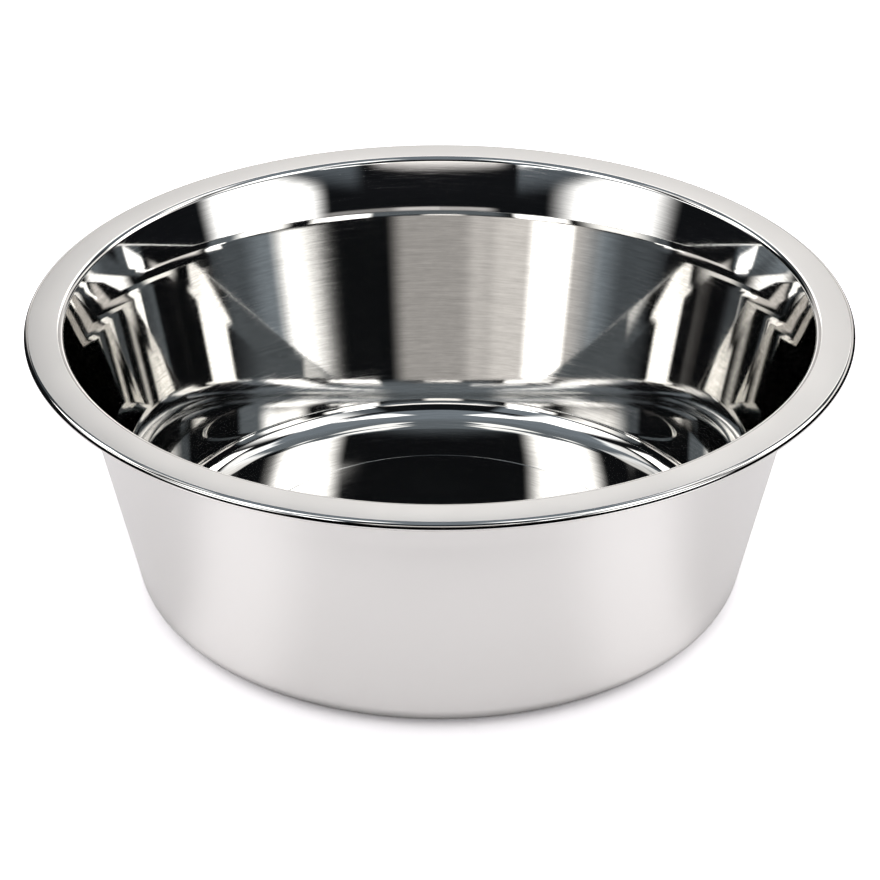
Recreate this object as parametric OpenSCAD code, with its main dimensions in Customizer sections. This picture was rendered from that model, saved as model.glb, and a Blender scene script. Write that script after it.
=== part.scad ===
// Stainless steel dog bowl with a flat rim, a flared mouth, a sloping wall and a raised floor.
// The steel is one drawn sheet with a rolled edge, and a rubber ring is bonded under its foot.
// Millimetres. The origin is at the middle of the rubber ring's underside, and +Z is up.

/* [Rim] */
// Outer diameter over the rolled edge
rim_d = 254; // [200:1:300]
// Width of the flat rim, from the rolled edge in to where it starts to bend down
rim_w = 10.2; // [6:0.2:14]
// Radius of the rim's top surface where it bends down into the flare
mouth_bend_r = 2; // [1.2:0.1:5]
// Outer radius of the rolled edge
roll_r = 1.45; // [1.2:0.05:2]
// How far the rolled edge is curled round, in degrees
roll_turn = 225; // [180:5:250]

/* [Wall] */
// Height of the steel from its foot to the top of the rim
bowl_h = 89.2; // [70:0.2:110]
// Thickness of the steel sheet
sheet_t = 0.7; // [0.5:0.1:0.9]
// Slope of the flared top of the wall, in degrees from upright
flare_slope = 19.3; // [14:0.1:30]
// Depth below the rim's top at which the lines of the flare and the wall meet
flare_depth = 16.2; // [10:0.2:24]
// Inside radius of the gentle bend between the flare and the wall
flare_bend_r = 45; // [20:5:80]
// Slope of the wall below the flare, in degrees from upright
wall_slope = 12.3; // [8:0.1:13.5]
// Inside radius of the corner between the wall and the floor
corner_r = 8; // [5:0.5:14]

/* [Floor] */
// Width of the level band that the bowl stands on, between the corner and the raised middle
foot_band_w = 21.4; // [10:0.2:40]
// How far the middle of the floor is pushed up
centre_rise = 1; // [0.5:0.1:1.5]
// Inside radius of the two bends around the raised middle
centre_bend_r = 1; // [0.6:0.1:2]

/* [Rubber ring] */
// How far the rubber ring is set in from the foot band's outer edge
ring_inset = 2.5; // [1:0.1:5]
// Width of the rubber ring's flat band
ring_w = 15; // [8:0.5:17]
// Thickness of the rubber ring
ring_t = 1.2; // [0.8:0.1:2]
// Radius of the rubber ring's rounded lower edges
ring_edge_r = 0.4; // [0.2:0.1:0.6]

/* [Hidden] */

// Steps along each kind of bend
bend_steps = 6;
corner_steps = 10;
roll_steps = 16;
// Facets that a round solid is drawn with
round_fn = 180;

// Angles that the sheet's directions are measured by
upright = 0;
level = 90;
half_turn = 180;

rim_r = rim_d / 2;

// Levels, from the ground up
foot_z = ring_t;
floor_z = foot_z + sheet_t;
rim_z = foot_z + bowl_h;
knee_z = rim_z - flare_depth;

// Radius of the inner surface after it has gone down by a height along a slope
function lower_r(r, height, slope) = r - height * tan(slope);

// Middle points of the rolled edge and the mouth bend, each shared by the sheet's two surfaces
roll_c = [rim_r - roll_r, rim_z - roll_r];
mouth_bend_c = [rim_r - rim_w, rim_z - mouth_bend_r];
flare_top = mouth_bend_c + mouth_bend_r * [-cos(flare_slope), sin(flare_slope)];

// The flare and the wall meet at the knee, and a gentle bend rounds it off
knee_r = lower_r(flare_top[0], flare_top[1] - knee_z, flare_slope);
knee_reach = flare_bend_r * tan((flare_slope - wall_slope) / 2);
flare_foot = [knee_r, knee_z] - knee_reach * [sin(wall_slope), cos(wall_slope)];
flare_bend_c = flare_foot + flare_bend_r * [cos(wall_slope), -sin(wall_slope)];

// Foot of the wall on its inner surface, and the corner below it
wall_foot_z = floor_z + corner_r * (1 - sin(wall_slope));
wall_foot_r = lower_r(knee_r, knee_z - wall_foot_z, wall_slope);
corner_c = [wall_foot_r - corner_r * cos(wall_slope), floor_z + corner_r];

// The step around the raised middle is two equal bends in opposite directions
centre_outer_bend_r = centre_bend_r + sheet_t;
centre_turn = acos(1 - centre_rise / (centre_bend_r + centre_outer_bend_r));
centre_step_w = (centre_bend_r + centre_outer_bend_r) * sin(centre_turn);
centre_foot_c = [corner_c[0] - foot_band_w, floor_z + centre_bend_r];
centre_r = centre_foot_c[0] - centre_step_w;
centre_top_c = [centre_r, floor_z + centre_rise - centre_outer_bend_r];

ring_outer_r = corner_c[0] - ring_inset;
ring_inner_r = ring_outer_r - ring_w;

// Points along an arc about c from angle a0 to angle a1
function arc(c, r, a0, a1, steps) =
    [for (i = [0 : steps]) let (a = a0 + (a1 - a0) * i / steps) c + r * [cos(a), sin(a)]];

// One surface of the sheet, from the axis out to the end of the rolled edge.
// d is the distance below the upper surface: zero, or the sheet's thickness.
function sheet_surface(d) = concat(
    [[0, floor_z + centre_rise - d]],
    arc(centre_top_c, centre_outer_bend_r - d, level, level - centre_turn, bend_steps),
    arc(centre_foot_c, centre_bend_r + d, -level - centre_turn, -level, bend_steps),
    arc(corner_c, corner_r + d, -level, -wall_slope, corner_steps),
    arc(flare_bend_c, flare_bend_r - d, half_turn - wall_slope, half_turn - flare_slope, bend_steps),
    arc(mouth_bend_c, mouth_bend_r - d, half_turn - flare_slope, level, bend_steps),
    arc(roll_c, roll_r - d, level, level - roll_turn, roll_steps)
);

function reversed(list) = [for (i = [len(list) - 1 : -1 : 0]) list[i]];

module bowl_shell() {
    color("silver")
    rotate_extrude($fn = round_fn)
    polygon(concat(sheet_surface(0), reversed(sheet_surface(sheet_t))));
}

module non_skid_ring() {
    color("dimgray")
    rotate_extrude($fn = round_fn)
    polygon(concat(
        [[ring_outer_r, ring_t]],
        [[ring_inner_r, ring_t]],
        arc([ring_inner_r + ring_edge_r, ring_edge_r], ring_edge_r, -half_turn, -level, bend_steps),
        arc([ring_outer_r - ring_edge_r, ring_edge_r], ring_edge_r, -level, upright, bend_steps)
    ));
}

bowl_shell();
non_skid_ring();
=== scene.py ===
"""Looks of a stainless steel dog bowl, drawn from one sheet, with a rubber ring under its foot."""
import math

import bpy
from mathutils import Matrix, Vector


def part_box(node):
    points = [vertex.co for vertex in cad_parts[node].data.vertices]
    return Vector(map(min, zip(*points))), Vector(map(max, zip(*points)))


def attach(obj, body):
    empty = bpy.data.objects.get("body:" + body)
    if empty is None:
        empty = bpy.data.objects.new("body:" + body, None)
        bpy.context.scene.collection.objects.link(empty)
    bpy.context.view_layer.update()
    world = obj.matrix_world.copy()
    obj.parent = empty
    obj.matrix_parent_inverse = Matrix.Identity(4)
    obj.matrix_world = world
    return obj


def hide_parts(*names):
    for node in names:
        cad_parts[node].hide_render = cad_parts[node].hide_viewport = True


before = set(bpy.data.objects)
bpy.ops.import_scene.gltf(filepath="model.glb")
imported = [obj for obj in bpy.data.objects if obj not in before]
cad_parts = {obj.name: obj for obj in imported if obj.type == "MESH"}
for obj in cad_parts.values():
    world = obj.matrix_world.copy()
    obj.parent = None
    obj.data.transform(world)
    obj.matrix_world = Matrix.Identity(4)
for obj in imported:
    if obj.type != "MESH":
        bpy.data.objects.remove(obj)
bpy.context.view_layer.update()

MM = 0.001
DEGREES_IN_RADIAN = 180 / math.pi

# Driving sizes of the bowl, the same as the CAD model's: lengths in metres, slopes in degrees
RIM_R = 127.0 * MM
RIM_W = 10.2 * MM
MOUTH_BEND_R = 2.0 * MM
ROLL_R = 1.45 * MM
ROLL_TURN = 225.0
SHEET_T = 0.7 * MM
FLARE_SLOPE = 19.3
FLARE_DEPTH = 16.2 * MM
FLARE_BEND_R = 45.0 * MM
WALL_SLOPE = 12.3
CORNER_R = 8.0 * MM
FOOT_BAND_W = 21.4 * MM
CENTRE_RISE = 1.0 * MM
CENTRE_BEND_R = 1.0 * MM

# The rubber ring, and the grooves around its underside
RING_W = 15.0 * MM
RING_EDGE_R = 0.4 * MM
GROOVES = 4
GROOVE_R = 0.45 * MM

# How finely the pieces are turned and their bends are drawn
TURN_STEPS = 384
BEND_STEPS = 10
CORNER_STEPS = 20
ROLL_STEPS = 28

# Directions in the (radius, height) plane, in degrees
OUTWARD, UP, INWARD, DOWN = 0, 90, 180, -90
QUARTER_TURN = 90

# A point of an outline nearer the axis than this lies on it
ON_AXIS = 1e-9

# Colour of bright stainless steel
STEEL = (0.72, 0.71, 0.69, 1)
# Noise in lines around the axis, for the steel's bump, its roughness and its colour
LINE_BUMP = {"along": 22.0, "across": 2600.0, "detail": 3.0, "roughness": 0.65}
LINE_STREAKS = {"along": 7.0, "across": 2600.0, "detail": 3.0, "roughness": 0.6}
LINE_STREAK_RANGE = (0.5, 0.85)
LINE_SHADES = {"along": 8.0, "across": 1500.0, "detail": 3.0, "roughness": 0.7}
LINE_SHADE_RANGE = (0.3, 0.7)
# The least radius that the noise divides by
LEAST_RADIUS = 1e-5
# Soft blotches of wear
WEAR_SCALE = 38.0
WEAR_RANGE = (0.35, 0.68)
# Part of a whole turn by which the steel's drawn-out highlights are turned
HIGHLIGHT_TURN = 0.25

# The bowl's finishes, in the order of its material slots, as steel() takes them
FINISHES = [
    ("steel_inside", {"roughness": (0.015, 0.03), "lines": 0.08, "line_depth": 6.0e-7,
                      "across_the_lines": 0.5, "line_shade": 0.16}),
    ("steel_rim", {"roughness": (0.3, 0.33), "lines": 0.03, "line_depth": 4.0e-7}),
    ("steel_outside", {"roughness": (0.29, 0.31), "lines": 0.03, "line_depth": 2.0e-7}),
]
INSIDE, RIM, OUTSIDE = 0, 1, 2

# The rubber, the dust on it, its roughness and its grain
RUBBER = (0.022, 0.022, 0.023, 1)
DUST = (0.06, 0.058, 0.055, 1)
DUST_NOISE = {"scale": 120.0, "detail": 5.0}
DUST_RANGE = (0.45, 0.75)
RUBBER_ROUGHNESS = (0.6, 0.85)
RUBBER_ROUGHNESS_SCALE = 260.0
RUBBER_ROUGHNESS_RANGE = (0.3, 0.7)
GRAIN_NOISE = {"scale": 2400.0, "detail": 2.0}
GRAIN_STRENGTH = 0.6
GRAIN_DEPTH = 0.00006

# The camera fitted to the photo's outlines. It looks at a point on the bowl's axis below the rim's
# top, and the axis is in this column of a picture this wide.
PICTURE_W = 880
AXIS_COLUMN = 439.6
FOCAL_PIXELS = 3020.7
SENSOR_W = 36
CAMERA_DISTANCE = 0.95
CAMERA_ELEVATION = 29.41
RIM_TOP = 0.0904
LOOK_BELOW_RIM = 0.04534

# The dim light of the studio beyond its soft boxes
DARK_STUDIO = (0.007, 0.008, 0.0095)

# Soft boxes and screens that the steel reflects. Each has the azimuths of its two sides, from the
# back and positive to the right, the elevations of its lower and upper edges, its strength, and
# the softness of its sides and of its edges. Angles are in degrees, and a box that goes past an
# azimuth of 180 or an elevation of 90 has no border there.
WHITE_BOXES = [
    (-138, -107, -40, 14.2, 2.4, 8, 1.2),
    (104, 140, -40, 14.2, 2.6, 5, 1.2),
    (-103, -71, 16.4, 21.5, 4.0, 10, 1.5),
    (59, 85, 18.8, 23.2, 4.0, 4, 1.5),
    (-155, -144, 17.3, 21.5, 3.6, 1.5, 0.8),
    (148, 163, 19.2, 22, 3.6, 1.5, 0.8),
    (-73, -45, 28.2, 45, 4.0, 3, 0.8),
    (-84, -73, 32, 45, 3.0, 3, 1),
    (49, 75, 28.2, 45, 4.0, 3, 0.8),
    (75, 85, 32, 45, 3.0, 3, 1),
    (-80, -49, 50, 60, 1.2, 4, 1.5),
    (26, 72, 49, 60, 1.5, 3, 1.5),
    (-150, -118, 62, 80, 2.0, 4, 2),
    (114, 150, 62, 80, 2.0, 4, 2),
    (-134, -101.5, 28.4, 61, 3.0, 6.5, 1),
    (98.7, 137, 28.4, 51.5, 2.2, 11, 1.5),
    (98.7, 128, 48, 60, 2.6, 6, 1.5),
    (142, 154, 21.8, 26.8, 3.5, 1.5, 0.8),
    (-153, -141, 21.5, 26.8, 3.5, 1.5, 0.8),
]
WARM_SCREENS = [
    (-28, 28, -60, 12.5, 1.3, 7, 2),
    (-28, 28, 12.5, 26.5, 0.64, 7, 1.5),
    (-10, 15, 26.8, 35.2, 2.1, 4, 0.8),
    (143, 166, 4.6, 7.6, 0.33, 3, 0.8),
    (166, 190, 4.6, 7.6, 0.8, 3, 0.8),
    (-190, -163, 4.6, 7.6, 0.6, 3, 0.8),
    (27, 95, 13, 26, 1.2, 15, 2),
    (160, 190, 17.5, 27, 1.5, 4, 1),
    (-190, -160, 17.5, 27, 1.5, 4, 1),
]
COOL_SCREENS = [
    (103, 154, 15, 21.8, 0.13, 3, 1.5),
    (94, 114, 15, 21.8, 0.26, 10, 1.5),
    (-155, -108, 14.5, 21.5, 0.14, 1.5, 1.5),
    (-124, -100, 14.5, 21.5, 0.24, 10, 1.5),
    (135, 154, 21.8, 50, 0.15, 3, 1.5),
    (-155, -125, 21.5, 50, 0.25, 3, 1.5),
    (-40, 40, 26.5, 37, 0.07, 7, 2),
    (-48, 40, 37.5, 57, 0.22, 8, 2),
    (-190, 190, 57, 95, 0.25, 1, 1.5),
]
PANELS = [
    ((1.0, 1.0, 1.0), WHITE_BOXES),
    ((1.03, 1.0, 0.985), WARM_SCREENS),
    ((0.86, 1.0, 1.14), COOL_SCREENS),
]

# The floor's colour, and how much brighter the camera and the steel see it
FLOOR_HALF_WIDTH = 6.0
FLOOR_COLOUR = 0.8
FLOOR_SEEN = 0.8
FLOOR_REFLECTED = 0.44
FLOOR_TINT = (1.02, 1.0, 1.025)
# Painted light on the floor, which only the steel sees: a pool of light whose middle lies just
# behind the bowl's foot, and which fades out to dark between these distances from there
LIT_MIDDLE = (0.0, 0.1, 0.0)
LIT_TO = 0.272
DARK_FROM = 0.288
# A painted shadow on the floor, which only the steel sees: the floor is darker close to the foot.
# This much of its light is left inside the first radius, and all of it outside the second.
CONTACT_R = 0.088
CLEAR_R = 0.103
PAINTED_SHADOW_LEFT = 0.25
# Painted light and shade on the floor, which only the steel sees: two brighter wedges of floor,
# between these angles from the front, and dimmer floor behind
WEDGE_BEGIN = 34.0
WEDGE_END = 60.0
WEDGE_SOFT = 9.0
WEDGE_BRIGHTER = 0.2
WEDGE_DIMMER = 0.13


def arc(centre, radius, start, end, steps):
    """Points along an arc in the (radius, height) plane, between two angles in degrees."""
    points = []
    for i in range(steps + 1):
        angle = math.radians(start + (end - start) * i / steps)
        points.append((centre[0] + radius * math.cos(angle), centre[1] + radius * math.sin(angle)))
    return points


def sheet_surface(below):
    """One surface of the sheet from the axis to the end of the rolled edge.

    below is the distance under the upper surface: zero, or the sheet's thickness."""
    low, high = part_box("bowl_shell")
    floor_z = low[2] + SHEET_T
    rim_z = high[2]
    flare = math.radians(FLARE_SLOPE)
    slope = math.radians(WALL_SLOPE)

    # Middle points of the bends, from the rim down to the corner
    roll = (RIM_R - ROLL_R, rim_z - ROLL_R)
    mouth = (RIM_R - RIM_W, rim_z - MOUTH_BEND_R)
    flare_top = (mouth[0] - MOUTH_BEND_R * math.cos(flare),
                 mouth[1] + MOUTH_BEND_R * math.sin(flare))
    knee_z = rim_z - FLARE_DEPTH
    knee_r = flare_top[0] - (flare_top[1] - knee_z) * math.tan(flare)
    reach = FLARE_BEND_R * math.tan((flare - slope) / 2)
    knee = (knee_r - reach * math.sin(slope) + FLARE_BEND_R * math.cos(slope),
            knee_z - reach * math.cos(slope) - FLARE_BEND_R * math.sin(slope))
    wall_foot_z = floor_z + CORNER_R * (1 - math.sin(slope))
    wall_foot_r = knee_r - (knee_z - wall_foot_z) * math.tan(slope)
    corner = (wall_foot_r - CORNER_R * math.cos(slope), floor_z + CORNER_R)

    # The step around the raised middle is two bends in opposite directions
    outer_bend = CENTRE_BEND_R + SHEET_T
    step_turn = math.degrees(math.acos(1 - CENTRE_RISE / (CENTRE_BEND_R + outer_bend)))
    step_w = (CENTRE_BEND_R + outer_bend) * math.sin(math.radians(step_turn))
    foot = (corner[0] - FOOT_BAND_W, floor_z + CENTRE_BEND_R)
    top = (foot[0] - step_w, floor_z + CENTRE_RISE - outer_bend)

    return [
        (0.0, floor_z + CENTRE_RISE - below),
        *arc(top, outer_bend - below, UP, UP - step_turn, BEND_STEPS),
        *arc(foot, CENTRE_BEND_R + below, DOWN - step_turn, DOWN, BEND_STEPS),
        *arc(corner, CORNER_R + below, DOWN, OUTWARD - WALL_SLOPE, CORNER_STEPS),
        *arc(knee, FLARE_BEND_R - below, INWARD - WALL_SLOPE, INWARD - FLARE_SLOPE, BEND_STEPS),
        *arc(mouth, MOUTH_BEND_R - below, INWARD - FLARE_SLOPE, UP, BEND_STEPS),
        *arc(roll, ROLL_R - below, UP, UP - ROLL_TURN, ROLL_STEPS),
    ]


def revolve(name, outline, ends_on_axis):
    """A piece turned about the Z axis from an outline of (radius, height) points.

    Each strip between two points has TURN_STEPS faces, and the strips follow the outline."""
    verts, faces, rings = [], [], []
    for radius, height in outline:
        if radius < ON_AXIS:
            rings.append([len(verts)])
            verts.append((0.0, 0.0, height))
            continue
        rings.append(list(range(len(verts), len(verts) + TURN_STEPS)))
        for k in range(TURN_STEPS):
            angle = 2 * math.pi * k / TURN_STEPS
            verts.append((radius * math.cos(angle), radius * math.sin(angle), height))
    pairs = list(zip(rings[:-1], rings[1:]))
    if not ends_on_axis:
        pairs.append((rings[-1], rings[0]))
    for inner, outer in pairs:
        for k in range(TURN_STEPS):
            n = (k + 1) % TURN_STEPS
            if len(inner) == 1:
                faces.append((inner[0], outer[k], outer[n]))
            elif len(outer) == 1:
                faces.append((inner[k], outer[0], inner[n]))
            else:
                faces.append((inner[k], outer[k], outer[n], inner[n]))
    mesh = bpy.data.meshes.new(name)
    mesh.from_pydata(verts, [], faces)
    mesh.validate()
    mesh.shade_smooth()
    piece = bpy.data.objects.new(name, mesh)
    bpy.context.collection.objects.link(piece)
    return piece


def feed(tree, value, socket):
    """Set a socket to a number or a vector, or link another node's output to it."""
    if isinstance(value, (int, float, tuple)):
        socket.default_value = value
    else:
        tree.links.new(value, socket)


def maths(tree, operation, first, second=None):
    """The output of a math node, fed with sockets or numbers."""
    node = tree.nodes.new("ShaderNodeMath")
    node.operation = operation
    feed(tree, first, node.inputs[0])
    if second is not None:
        feed(tree, second, node.inputs[1])
    return node.outputs[0]


def times(tree, first, second):
    """The product of two numbers."""
    return maths(tree, "MULTIPLY", first, second)


def vector_maths(tree, operation, first, second=None):
    """The output of a vector math node: a number for a distance or a length, or else a vector."""
    node = tree.nodes.new("ShaderNodeVectorMath")
    node.operation = operation
    feed(tree, first, node.inputs[0])
    if second is not None:
        feed(tree, second, node.inputs["Scale" if operation == "SCALE" else 1])
    return node.outputs["Value" if operation in ("DISTANCE", "LENGTH") else "Vector"]


def spread(tree, value, low, high, to_low=0.0, to_high=1.0, smooth=False):
    """A value mapped from one range to another, and held at its ends."""
    node = tree.nodes.new("ShaderNodeMapRange")
    node.interpolation_type = "SMOOTHSTEP" if smooth else "LINEAR"
    for socket, number in zip(node.inputs[1:5], (low, high, to_low, to_high)):
        socket.default_value = number
    feed(tree, value, node.inputs[0])
    return node.outputs[0]


def between(tree, value, low, high, soft):
    """1 where a value lies between two limits, with soft borders, and 0 elsewhere."""
    rise = spread(tree, value, low - soft, low + soft, smooth=True)
    fall = spread(tree, value, high - soft, high + soft, 1.0, 0.0, smooth=True)
    return times(tree, rise, fall)


def position(tree, kind="Object"):
    """Where a point is on its object, or with Generated the direction in the world."""
    return tree.nodes.new("ShaderNodeTexCoord").outputs[kind]


def xyz(tree, vector):
    """The three numbers of a vector."""
    node = tree.nodes.new("ShaderNodeSeparateXYZ")
    feed(tree, vector, node.inputs[0])
    return node.outputs


def turned_noise(tree, along, across, detail, roughness):
    """Noise drawn out into lines around the Z axis, with no seam.

    along is how often it changes in a turn, and across is how often it changes in a metre."""
    x, y, z = xyz(tree, position(tree))
    radius = maths(tree, "SQRT", maths(tree, "ADD", times(tree, x, x), times(tree, y, y)))
    safe = maths(tree, "MAXIMUM", radius, LEAST_RADIUS)
    place = tree.nodes.new("ShaderNodeCombineXYZ")
    feed(tree, times(tree, maths(tree, "DIVIDE", x, safe), along), place.inputs[0])
    feed(tree, times(tree, maths(tree, "DIVIDE", y, safe), along), place.inputs[1])
    feed(tree, times(tree, radius, across), place.inputs[2])
    noise = tree.nodes.new("ShaderNodeTexNoise")
    noise.noise_dimensions = "4D"
    noise.inputs["Scale"].default_value = 1.0
    noise.inputs["Detail"].default_value = detail
    noise.inputs["Roughness"].default_value = roughness
    feed(tree, place.outputs[0], noise.inputs["Vector"])
    feed(tree, times(tree, z, across), noise.inputs["W"])
    return noise.outputs[0]


def blotches(tree, scale, detail=3.0):
    """Noise that is alike in all directions, where scale is how often it changes in a metre."""
    noise = tree.nodes.new("ShaderNodeTexNoise")
    noise.inputs["Scale"].default_value = scale
    noise.inputs["Detail"].default_value = detail
    feed(tree, position(tree), noise.inputs["Vector"])
    return noise.outputs[0]


def bump(tree, height, depth, strength, shader):
    """Give a shader a bump from a height that changes by a depth in metres."""
    node = tree.nodes.new("ShaderNodeBump")
    node.inputs["Strength"].default_value = strength
    node.inputs["Distance"].default_value = depth
    feed(tree, height, node.inputs["Height"])
    feed(tree, node.outputs[0], shader.inputs["Normal"])


def new_material(name):
    """A new material, its node tree and its shader."""
    mat = bpy.data.materials.new(name)
    mat.use_nodes = True
    return mat, mat.node_tree, mat.node_tree.nodes["Principled BSDF"]


def steel(name, roughness, lines, line_depth, across_the_lines=0.0, line_shade=0.0):
    """Stainless steel with fine lines around the axis and faint wear.

    roughness is its least and its most where there are no lines. lines is the most that they add
    to it, line_depth is their depth in metres, and line_shade is the most that they darken the
    steel. across_the_lines is how much its highlights are drawn out across them."""
    mat, tree, shader = new_material(name)
    shader.inputs["Base Color"].default_value = STEEL
    shader.inputs["Metallic"].default_value = 1.0
    if line_shade:
        lined = turned_noise(tree, **LINE_SHADES)
        level = spread(tree, lined, *LINE_SHADE_RANGE, 1.0 - line_shade, 1.0 + line_shade / 2)
        feed(tree, vector_maths(tree, "SCALE", STEEL[:3], level), shader.inputs["Base Color"])
    if across_the_lines:
        shader.inputs["Anisotropic"].default_value = across_the_lines
        shader.inputs["Anisotropic Rotation"].default_value = HIGHLIGHT_TURN
        tangent = tree.nodes.new("ShaderNodeTangent")
        tangent.direction_type = "RADIAL"
        tangent.axis = "Z"
        feed(tree, tangent.outputs[0], shader.inputs["Tangent"])
    wear = spread(tree, blotches(tree, WEAR_SCALE), *WEAR_RANGE, *roughness)
    streak = spread(tree, turned_noise(tree, **LINE_STREAKS), *LINE_STREAK_RANGE, 0.0, lines)
    feed(tree, maths(tree, "ADD", wear, streak), shader.inputs["Roughness"])
    bump(tree, turned_noise(tree, **LINE_BUMP), line_depth, 1.0, shader)
    return mat


def rubber():
    """Black moulded rubber: matt, with a fine grain and a little dust on it."""
    mat, tree, shader = new_material("rubber")
    dusty = tree.nodes.new("ShaderNodeMix")
    dusty.data_type = "RGBA"
    dusty.inputs["A"].default_value = RUBBER
    dusty.inputs["B"].default_value = DUST
    dust = spread(tree, blotches(tree, **DUST_NOISE), *DUST_RANGE)
    feed(tree, dust, dusty.inputs["Factor"])
    feed(tree, dusty.outputs["Result"], shader.inputs["Base Color"])
    roughness = spread(tree, blotches(tree, RUBBER_ROUGHNESS_SCALE),
                       *RUBBER_ROUGHNESS_RANGE, *RUBBER_ROUGHNESS)
    feed(tree, roughness, shader.inputs["Roughness"])
    bump(tree, blotches(tree, **GRAIN_NOISE), GRAIN_DEPTH, GRAIN_STRENGTH, shader)
    return mat


def make_bowl():
    """The steel bowl: polished inside and on its rolled edge, satin on the flat rim and outside."""
    upper = sheet_surface(0)
    lower = sheet_surface(SHEET_T)
    bowl = revolve("steel_bowl", upper + lower[::-1], True)
    for name, finish in FINISHES:
        bowl.data.materials.append(steel(name, **finish))
    # The flat rim is the strip before the rolled edge's first point, and the strips of the
    # outside begin at the upper surface's last point
    roll_start = len(upper) - (ROLL_STEPS + 1)
    outside_start = len(upper) - 1
    for i, poly in enumerate(bowl.data.polygons):
        strip = i // TURN_STEPS
        if strip == roll_start - 1:
            poly.material_index = RIM
        elif strip >= outside_start:
            poly.material_index = OUTSIDE
        else:
            poly.material_index = INSIDE
    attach(bowl, "root")
    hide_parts("bowl_shell")


def make_ring():
    """The rubber ring under the foot, with shallow grooves moulded around its underside."""
    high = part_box("non_skid_ring")[1]
    outer, top = high[0], high[2]
    inner = outer - RING_W
    edge = RING_EDGE_R
    outline = [(inner, top)]
    outline += arc((inner + edge, edge), edge, INWARD, INWARD + QUARTER_TURN, BEND_STEPS)
    pitch = (RING_W - 2 * edge) / (GROOVES + 1)
    for g in range(GROOVES):
        middle = inner + edge + pitch * (g + 1)
        outline += arc((middle, 0.0), GROOVE_R, INWARD, OUTWARD, BEND_STEPS)
    outline += arc((outer - edge, edge), edge, DOWN, OUTWARD, BEND_STEPS)
    outline += [(outer, top)]
    ring = revolve("rubber_ring", outline, False)
    ring.data.materials.append(rubber())
    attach(ring, "root")
    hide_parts("non_skid_ring")


def make_camera():
    """The camera that the photo was taken with, as far as its outlines tell."""
    cam = bpy.data.cameras.new("camera")
    cam.sensor_width = SENSOR_W
    cam.lens = SENSOR_W * FOCAL_PIXELS / PICTURE_W
    cam.shift_x = (PICTURE_W / 2 - AXIS_COLUMN) / PICTURE_W
    obj = bpy.data.objects.new("camera", cam)
    bpy.context.collection.objects.link(obj)
    elevation = math.radians(CAMERA_ELEVATION)
    look_z = RIM_TOP - LOOK_BELOW_RIM
    obj.location = (0, -CAMERA_DISTANCE * math.cos(elevation),
                    look_z + CAMERA_DISTANCE * math.sin(elevation))
    obj.rotation_euler = (math.pi / 2 - elevation, 0, 0)
    bpy.context.scene.camera = obj


def panel_light(tree, azimuth, elevation, panel):
    """How bright one soft box is in a direction."""
    left, right, low, high, strength, soft_sides, soft_edges = panel
    area = times(tree, between(tree, azimuth, left, right, soft_sides),
                 between(tree, elevation, low, high, soft_edges))
    return times(tree, area, strength)


def studio_light(tree):
    """The colour that reflections see in each direction, from all soft boxes and the dark."""
    x, y, z = xyz(tree, position(tree, "Generated"))
    elevation = times(tree, maths(tree, "ARCSINE", z), DEGREES_IN_RADIAN)
    azimuth = times(tree, maths(tree, "ARCTAN2", x, y), DEGREES_IN_RADIAN)
    total = None
    for tint, panels in PANELS:
        level = panel_light(tree, azimuth, elevation, panels[0])
        for panel in panels[1:]:
            light = panel_light(tree, azimuth, elevation, panel)
            level = maths(tree, "ADD", level, light)
        colour = vector_maths(tree, "SCALE", tint, level)
        total = colour if total is None else vector_maths(tree, "ADD", total, colour)
    return vector_maths(tree, "ADD", total, DARK_STUDIO)


def make_world():
    """A plain white studio, except that reflections see its soft boxes and the dark between."""
    world = bpy.data.worlds.new("studio")
    bpy.context.scene.world = world
    world.use_nodes = True
    tree = world.node_tree
    tree.nodes.clear()
    reflected = tree.nodes.new("ShaderNodeBackground")
    feed(tree, studio_light(tree), reflected.inputs["Color"])
    plain = tree.nodes.new("ShaderNodeBackground")
    plain.inputs["Color"].default_value = (1, 1, 1, 1)
    path = tree.nodes.new("ShaderNodeLightPath")
    mix = tree.nodes.new("ShaderNodeMixShader")
    feed(tree, path.outputs["Is Glossy Ray"], mix.inputs[0])
    feed(tree, plain.outputs[0], mix.inputs[1])
    feed(tree, reflected.outputs[0], mix.inputs[2])
    out = tree.nodes.new("ShaderNodeOutputWorld")
    feed(tree, mix.outputs[0], out.inputs[0])


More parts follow.
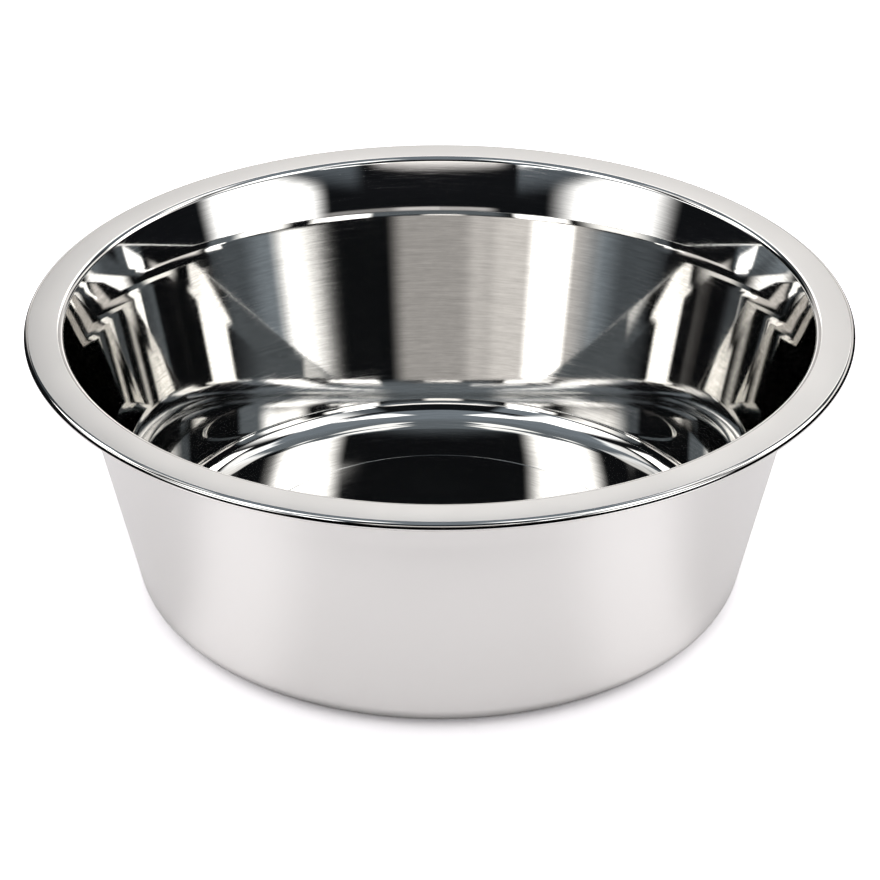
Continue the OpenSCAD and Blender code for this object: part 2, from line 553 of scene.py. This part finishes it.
def painted_floor_light(tree):
    """How much of the floor's light the steel sees, as painted light and shade: a painted pool of
    light that is dark far away, a painted shadow at the foot, and painted brighter wedges.
    """
    where = position(tree)
    reach = vector_maths(tree, "DISTANCE", where, LIT_MIDDLE)
    # Painted pool of light on the floor, dark far away
    lit = spread(tree, reach, LIT_TO, DARK_FROM, 1.0, 0.0, smooth=True)
    # Painted shadow on the floor close to the foot
    radius = vector_maths(tree, "LENGTH", where)
    painted_shadow = spread(tree, radius, CONTACT_R, CLEAR_R, PAINTED_SHADOW_LEFT, 1.0, smooth=True)
    # Painted brighter wedges of floor to the front sides, and dimmer floor behind
    x, y, _ = xyz(tree, where)
    sideways = maths(tree, "ABSOLUTE", x)
    forward = times(tree, y, -1.0)
    angle = times(tree, maths(tree, "ARCTAN2", sideways, forward), DEGREES_IN_RADIAN)
    rise = spread(tree, angle, WEDGE_BEGIN - WEDGE_SOFT, WEDGE_BEGIN + WEDGE_SOFT,
                  1.0, 1.0 + WEDGE_BRIGHTER, smooth=True)
    fall = spread(tree, angle, WEDGE_END - WEDGE_SOFT, WEDGE_END + WEDGE_SOFT,
                  0.0, WEDGE_BRIGHTER + WEDGE_DIMMER, smooth=True)
    wedges = maths(tree, "SUBTRACT", rise, fall)
    return times(tree, times(tree, lit, painted_shadow), wedges)


def make_floor():
    """A white floor, exposed like the photo's: pure white a little way from the bowl's shadow."""
    mesh = bpy.data.meshes.new("floor")
    s = FLOOR_HALF_WIDTH
    mesh.from_pydata([(-s, -s, 0), (s, -s, 0), (s, s, 0), (-s, s, 0)], [], [(0, 1, 2, 3)])
    floor = bpy.data.objects.new("floor", mesh)
    bpy.context.collection.objects.link(floor)
    mat = bpy.data.materials.new("floor")
    mat.use_nodes = True
    tree = mat.node_tree
    tree.nodes.clear()
    path = tree.nodes.new("ShaderNodeLightPath")
    seen = times(tree, path.outputs["Is Camera Ray"], FLOOR_SEEN)
    reflected = times(tree, path.outputs["Is Glossy Ray"], FLOOR_REFLECTED)
    level = maths(tree, "ADD", maths(tree, "ADD", FLOOR_COLOUR, seen), reflected)
    # Only reflections see this painted light and shadow: the factor is 1 for every other ray
    change = maths(tree, "SUBTRACT", painted_floor_light(tree), 1.0)
    factor = maths(tree, "ADD", 1.0, times(tree, change, path.outputs["Is Glossy Ray"]))
    colour = vector_maths(tree, "SCALE", FLOOR_TINT, times(tree, level, factor))
    shader = tree.nodes.new("ShaderNodeBsdfDiffuse")
    feed(tree, colour, shader.inputs["Color"])
    out = tree.nodes.new("ShaderNodeOutputMaterial")
    feed(tree, shader.outputs[0], out.inputs["Surface"])
    mesh.materials.append(mat)


make_bowl()
make_ring()
make_camera()
make_world()
make_floor()

bpy.context.scene.view_settings.view_transform = "Standard"
